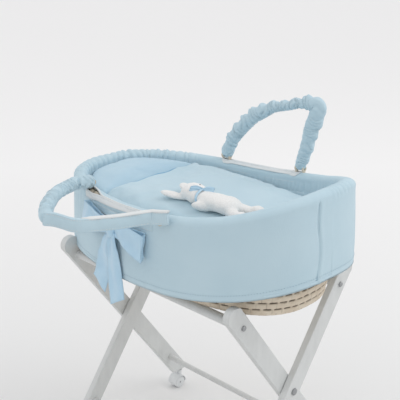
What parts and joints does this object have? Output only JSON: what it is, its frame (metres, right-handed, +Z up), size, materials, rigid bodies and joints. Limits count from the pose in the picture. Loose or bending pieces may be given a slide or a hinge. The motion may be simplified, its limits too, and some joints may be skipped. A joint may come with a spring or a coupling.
{
  "type": "bassinet on stand",
  "caption": "Moses basket in a padded fabric dressing with two carrying handles and a coverlet, resting on a folding scissor stand with casters.",
  "frame": {"origin": "on the floor under the middle of the whole object's bounding box, with the near handle laid outward", "axes": "+X toward the foot end of the basket, +Y toward the side whose handle stands up, +Z up"},
  "size_m": [0.82, 0.6956, 1.0354],
  "materials": {
    "painted_wood": "satin white paint over solid beech",
    "steel": "zinc-plated steel",
    "brass": "turned brass insert",
    "white_plastic": "moulded nylon",
    "woven_cane": "coiled palm leaf sewn in rows",
    "blue_cotton": "plain-weave light blue cotton",
    "sheet_cotton": "plain-weave light blue cotton sheet",
    "satin_ribbon": "light blue satin ribbon",
    "white_piping": "white cotton binding",
    "foam": "foam mattress in a cotton cover",
    "plush": "short white plush"
  },
  "bodies": {
    "frame_a": {"leg_a_head": "painted_wood", "leg_a_foot": "painted_wood", "rail_a": "painted_wood", "dowel_a": "painted_wood", "rail_screws_a": "steel", "pivot_insert_foot": "brass", "pivot_bolt_foot": "steel", "pivot_washers": "steel", "stop_pins": "steel", "caster_stem_1": "steel", "caster_stem_2": "steel"},
    "frame_b": {"leg_b_head": "painted_wood", "leg_b_foot": "painted_wood", "rail_b": "painted_wood", "dowel_b": "painted_wood", "rail_screws_b": "steel", "pivot_insert_head": "brass", "pivot_bolt_head": "steel", "caster_stem_3": "steel", "caster_stem_4": "steel"},
    "basket": {"woven_base": "woven_cane", "woven_wall": "woven_cane", "woven_border": "woven_cane", "mattress": "foam", "liner": "blue_cotton", "rim_roll": "blue_cotton", "skirt": "blue_cotton", "pillow": "sheet_cotton", "coverlet": "blue_cotton", "bow": "satin_ribbon", "near_slot_facing": "white_piping", "far_slot_facing": "white_piping", "near_handle_loops": "woven_cane", "far_handle_loops": "woven_cane", "rabbit": "plush", "rabbit_ribbon": "satin_ribbon"},
    "near_handle": {"near_handle_core": "woven_cane", "near_handle_sleeve": "blue_cotton", "near_handle_strap": "blue_cotton"},
    "far_handle": {"far_handle_core": "woven_cane", "far_handle_sleeve": "blue_cotton"},
    "caster_1": {"caster_hood_1": "white_plastic", "caster_axle_1": "steel"},
    "wheels_1": {"caster_wheels_1": "white_plastic"},
    "caster_2": {"caster_hood_2": "white_plastic", "caster_axle_2": "steel"},
    "wheels_2": {"caster_wheels_2": "white_plastic"},
    "caster_3": {"caster_hood_3": "white_plastic", "caster_axle_3": "steel"},
    "wheels_3": {"caster_wheels_3": "white_plastic"},
    "caster_4": {"caster_hood_4": "white_plastic", "caster_axle_4": "steel"},
    "wheels_4": {"caster_wheels_4": "white_plastic"}
  },
  "joints": [
    {"name": "basket_lift", "type": "slide", "parent": "frame_a", "child": "basket", "axis": [0, 0, 1], "range_m": [0, 0.45]},
    {"name": "stand_fold", "type": "hinge", "parent": "frame_a", "child": "frame_b", "pos_m": [0, 0.10299, 0.3445], "axis": [1, 0, 0], "range_deg": [0, 58]},
    {"name": "near_handle_swing", "type": "hinge", "parent": "basket", "child": "near_handle", "pos_m": [-0.212, -0.08602, 0.81522], "axis": [-0.9821, 0.1873, 0.0187], "range_deg": [0, 110]},
    {"name": "far_handle_swing", "type": "hinge", "parent": "basket", "child": "far_handle", "pos_m": [-0.112, 0.31359, 0.81639], "axis": [0.9968, 0.0317, 0.0738], "range_deg": [-92, 35]},
    {"name": "caster_1_swivel", "type": "hinge", "parent": "frame_a", "child": "caster_1", "pos_m": [-0.3065, 0.31038, 0.048], "axis": [0, 0, 1], "continuous": true},
    {"name": "caster_1_roll", "type": "hinge", "parent": "caster_1", "child": "wheels_1", "pos_m": [-0.3065, 0.30038, 0.019], "axis": [1, 0, 0], "continuous": true},
    {"name": "caster_2_swivel", "type": "hinge", "parent": "frame_a", "child": "caster_2", "pos_m": [0.2865, 0.31038, 0.048], "axis": [0, 0, 1], "continuous": true},
    {"name": "caster_2_roll", "type": "hinge", "parent": "caster_2", "child": "wheels_2", "pos_m": [0.2865, 0.30038, 0.019], "axis": [1, 0, 0], "continuous": true},
    {"name": "caster_3_swivel", "type": "hinge", "parent": "frame_b", "child": "caster_3", "pos_m": [-0.2865, -0.1044, 0.048], "axis": [0, 0, 1], "continuous": true},
    {"name": "caster_3_roll", "type": "hinge", "parent": "caster_3", "child": "wheels_3", "pos_m": [-0.2865, -0.1144, 0.019], "axis": [1, 0, 0], "continuous": true},
    {"name": "caster_4_swivel", "type": "hinge", "parent": "frame_b", "child": "caster_4", "pos_m": [0.3065, -0.1044, 0.048], "axis": [0, 0, 1], "continuous": true},
    {"name": "caster_4_roll", "type": "hinge", "parent": "caster_4", "child": "wheels_4", "pos_m": [0.3065, -0.1144, 0.019], "axis": [1, 0, 0], "continuous": true}
  ],
  "couplings": [
    {"joint": "stand_fold", "follows": "basket_lift", "rad_per_m": 2.2493}
  ]
}
